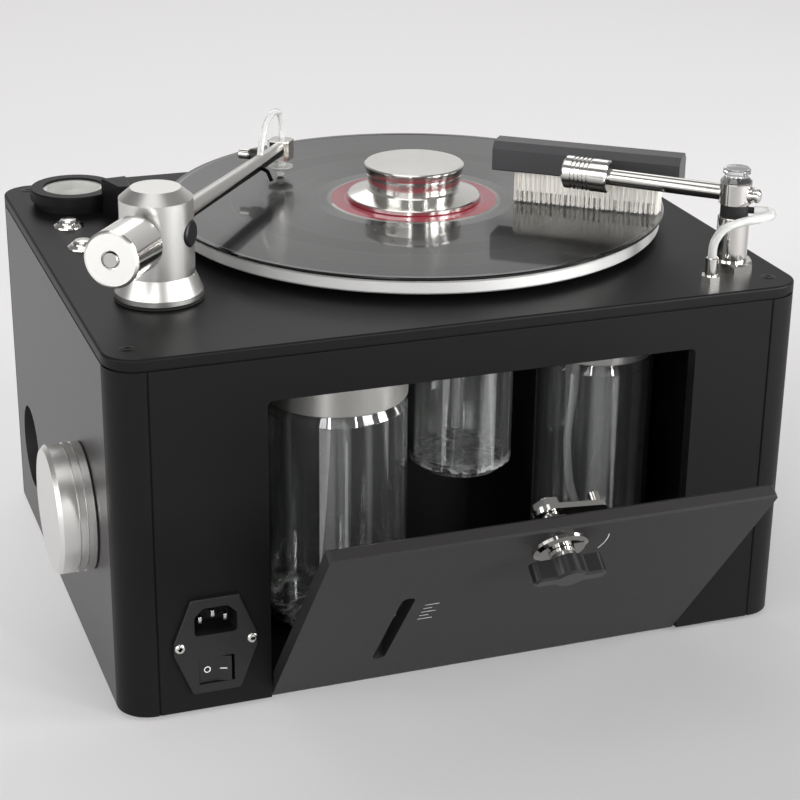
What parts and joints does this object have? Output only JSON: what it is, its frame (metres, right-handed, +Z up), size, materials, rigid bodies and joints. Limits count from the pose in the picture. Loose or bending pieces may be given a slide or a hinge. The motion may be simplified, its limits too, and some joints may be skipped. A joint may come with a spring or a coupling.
{
  "type": "record cleaning machine",
  "caption": "Record cleaning machine with a suction arm, a brush arm, a clamped record on a platter, and a fold-down front door over glass jars.",
  "frame": {"origin": "middle of the case's footprint, on the plane of the feet", "axes": "+X to the machine's right as seen from the door, +Y to the back, +Z up"},
  "size_m": [0.417, 0.4362, 0.2709],
  "materials": {
    "panel": "satin black powder coat",
    "base": "dark anodised",
    "bay": "black",
    "rubber": "matte",
    "glass": "clear",
    "lid": "bright turned",
    "hose": "clear vinyl",
    "black_plastic": "moulded",
    "valve": "machined",
    "satin_alu": "bead blasted",
    "black_cap": "blackened",
    "platter": "turned",
    "steel": "ground",
    "vinyl": "grooved vinyl with label",
    "clamp": "polished",
    "machine": "plain",
    "belt": "matte",
    "weight": "satin chromed",
    "chrome": "polished",
    "nozzle": "white",
    "brush": "dark grey",
    "bristle": "pale bristle",
    "pot": "satin black powder coat"
  },
  "bodies": {
    "case": {"front_panel": "panel", "left_panel": "panel", "right_panel": "panel", "rear_panel": "panel", "corner_posts": "panel", "top_plate": "panel", "base_plate": "base", "jar_bay": "bay", "feet": "rubber", "arm_bearing": "rubber", "hose_union": "rubber", "waste_jar": "glass", "fluid_jar": "glass", "trap_jar": "glass", "jar_lids": "lid", "fluid_pickup_hose": "hose", "vacuum_hose": "hose", "feed_hose": "hose", "inlet_module": "black_plastic", "regulator_valve": "valve", "platter_bearing": "valve", "hinge_pins": "steel", "motor": "machine", "vacuum_pump": "machine", "liquid_pump": "machine", "power_supply": "machine", "drive_belt": "belt", "brush_post": "chrome", "hose_barb": "chrome", "button_bezels": "chrome", "pot_dish": "chrome", "nozzle_pot": "pot"},
    "platter": {"platter": "platter", "platter_spindle": "steel", "mat": "rubber", "record": "vinyl"},
    "clamp": {"record_clamp": "clamp"},
    "motor_rotor": {"motor_pulley": "steel"},
    "column": {"arm_column": "satin_alu", "arm_pivot": "black_cap"},
    "arm": {"arm_tube": "satin_alu", "counterweight": "weight", "arm_head": "chrome", "nozzle": "nozzle", "arm_loop_tube": "hose"},
    "thumb_screw": {"arm_thumb_screw": "black_plastic"},
    "swivel": {"brush_swivel": "chrome", "swivel_cap": "glass"},
    "brush": {"brush_arm": "chrome", "brush_collar": "chrome", "brush_body": "brush", "bristles": "bristle"},
    "door": {"door": "panel", "latch_rosette": "chrome"},
    "latch": {"latch_handle": "black_plastic", "latch_lever": "chrome"},
    "rocker": {"rocker": "black_plastic"},
    "regulator": {"regulator_knob": "satin_alu"},
    "button_rear": {"push_button_rear": "chrome"},
    "button_front": {"push_button_front": "chrome"}
  },
  "joints": [
    {"name": "platter_spin", "type": "hinge", "parent": "case", "child": "platter", "pos_m": [0.029, 0.016, 0.2089], "axis": [0, 0, 1], "continuous": true},
    {"name": "motor_spin", "type": "hinge", "parent": "case", "child": "motor_rotor", "pos_m": [0.122, 0.06, 0.15], "axis": [0, 0, 1], "continuous": true},
    {"name": "clamp_lift", "type": "slide", "parent": "platter", "child": "clamp", "axis": [0, 0, 1], "range_m": [0, 0.045]},
    {"name": "arm_yaw", "type": "hinge", "parent": "case", "child": "column", "pos_m": [-0.1501, -0.072, 0.2089], "axis": [0, 0, 1], "range_deg": [-10, 42]},
    {"name": "arm_pitch", "type": "hinge", "parent": "column", "child": "arm", "pos_m": [-0.1501, -0.072, 0.2469], "axis": [0.8049, -0.5934, 0], "range_deg": [0, 8]},
    {"name": "thumb_screw_turn", "type": "hinge", "parent": "arm", "child": "thumb_screw", "pos_m": [-0.04689, 0.06799, 0.24174], "axis": [-0.8049, 0.5934, 0], "range_deg": [-180, 180]},
    {"name": "brush_yaw", "type": "hinge", "parent": "case", "child": "swivel", "pos_m": [0.171, -0.123, 0.2469], "axis": [0, 0, 1], "range_deg": [-95, 3]},
    {"name": "brush_tilt", "type": "hinge", "parent": "swivel", "child": "brush", "pos_m": [0.171, -0.123, 0.25285], "axis": [0.7218, -0.6921, 0], "range_deg": [0, 60]},
    {"name": "door_hinge", "type": "hinge", "parent": "case", "child": "door", "pos_m": [0.008, -0.158, 0.0071], "axis": [1, 0, 0], "range_deg": [-38.5, 31.5]},
    {"name": "latch_turn", "type": "hinge", "parent": "door", "child": "latch", "pos_m": [0.013, -0.24996, 0.11629], "axis": [0, -0.7826, -0.6225], "range_deg": [0, 90]},
    {"name": "rocker_tip", "type": "hinge", "parent": "case", "child": "rocker", "pos_m": [-0.1467, -0.159, 0.027], "axis": [0, 0, 1], "range_deg": [0, 16]},
    {"name": "regulator_turn", "type": "hinge", "parent": "case", "child": "regulator", "pos_m": [-0.198, -0.082, 0.0955], "axis": [-1, 0, 0], "range_deg": [-150, 150]},
    {"name": "button_rear_push", "type": "slide", "parent": "case", "child": "button_rear", "axis": [0, 0, -1], "range_m": [0, 0.0015], "stiffness_N_per_m": 600, "springref_m": -0.002},
    {"name": "button_front_push", "type": "slide", "parent": "case", "child": "button_front", "axis": [0, 0, -1], "range_m": [0, 0.0015], "stiffness_N_per_m": 600, "springref_m": -0.002}
  ],
  "couplings": [
    {"joint": "motor_spin", "follows": "platter_spin", "ratio": 5.0737}
  ]
}
